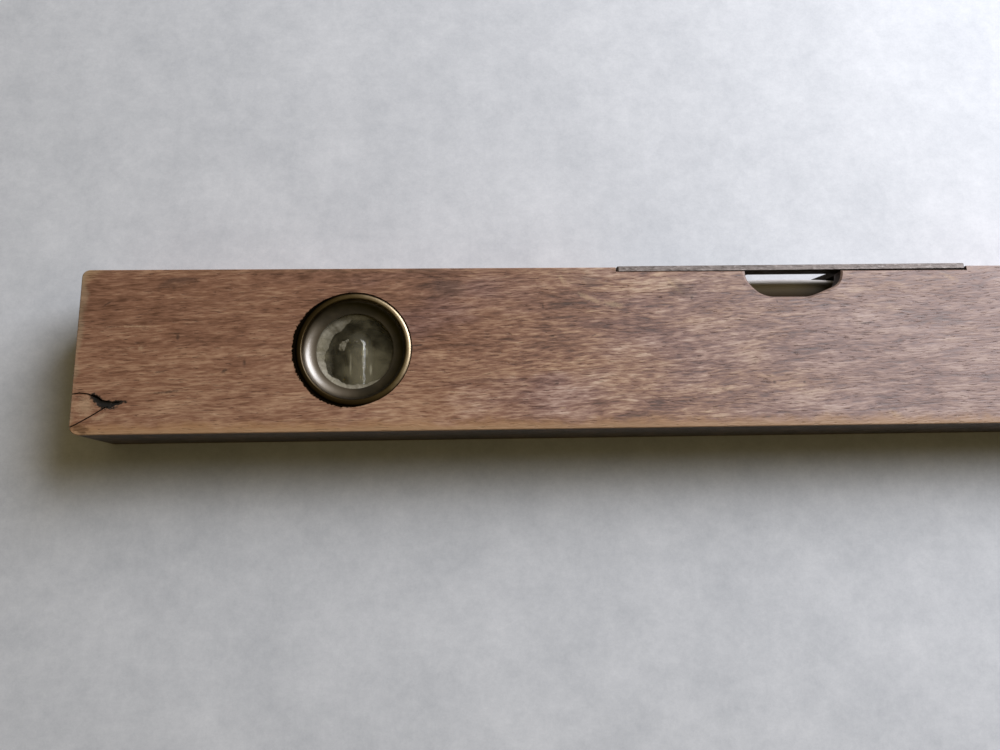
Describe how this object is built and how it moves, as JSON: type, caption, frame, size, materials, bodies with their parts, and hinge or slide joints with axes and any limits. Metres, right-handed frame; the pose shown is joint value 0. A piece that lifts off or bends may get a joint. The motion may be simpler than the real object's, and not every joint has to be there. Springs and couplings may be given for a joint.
{
  "type": "wooden spirit level",
  "caption": "Long hardwood spirit level with a bent vial under a brass top plate and side windows, and a round dished brass eye with a plumb vial near one end.",
  "frame": {"origin": "middle of the flat back face, which the level lies on", "axes": "+X along the stock, away from the end with the round eye; +Y from the working edge to the top edge with the brass plate; +Z out of the front face"},
  "size_m": [0.5, 0.0586, 0.028],
  "materials": {
    "hardwood": "worn and bare, with fine dark flecks along the grain",
    "brass": "dull and tarnished, polished only on the crest of the cups",
    "glass": "clear",
    "spirit": "clear olive liquid",
    "plaster": "matt off-white",
    "putty": "matt grey-buff, ragged at its inner edge"
  },
  "bodies": {
    "root": {"body": "hardwood", "top_plate": "brass", "plate_screws": "brass", "level_vial": "glass", "level_vial_spirit": "spirit", "level_vial_bed_left": "plaster", "level_vial_bed_right": "plaster", "front_eye_cup": "brass", "back_eye_cup": "brass", "front_eye_glass": "glass", "back_eye_glass": "glass", "front_eye_putty": "putty", "back_eye_putty": "putty", "plumb_vial": "glass", "plumb_vial_spirit": "spirit", "plumb_vial_bed": "plaster"}
  },
  "joints": []
}
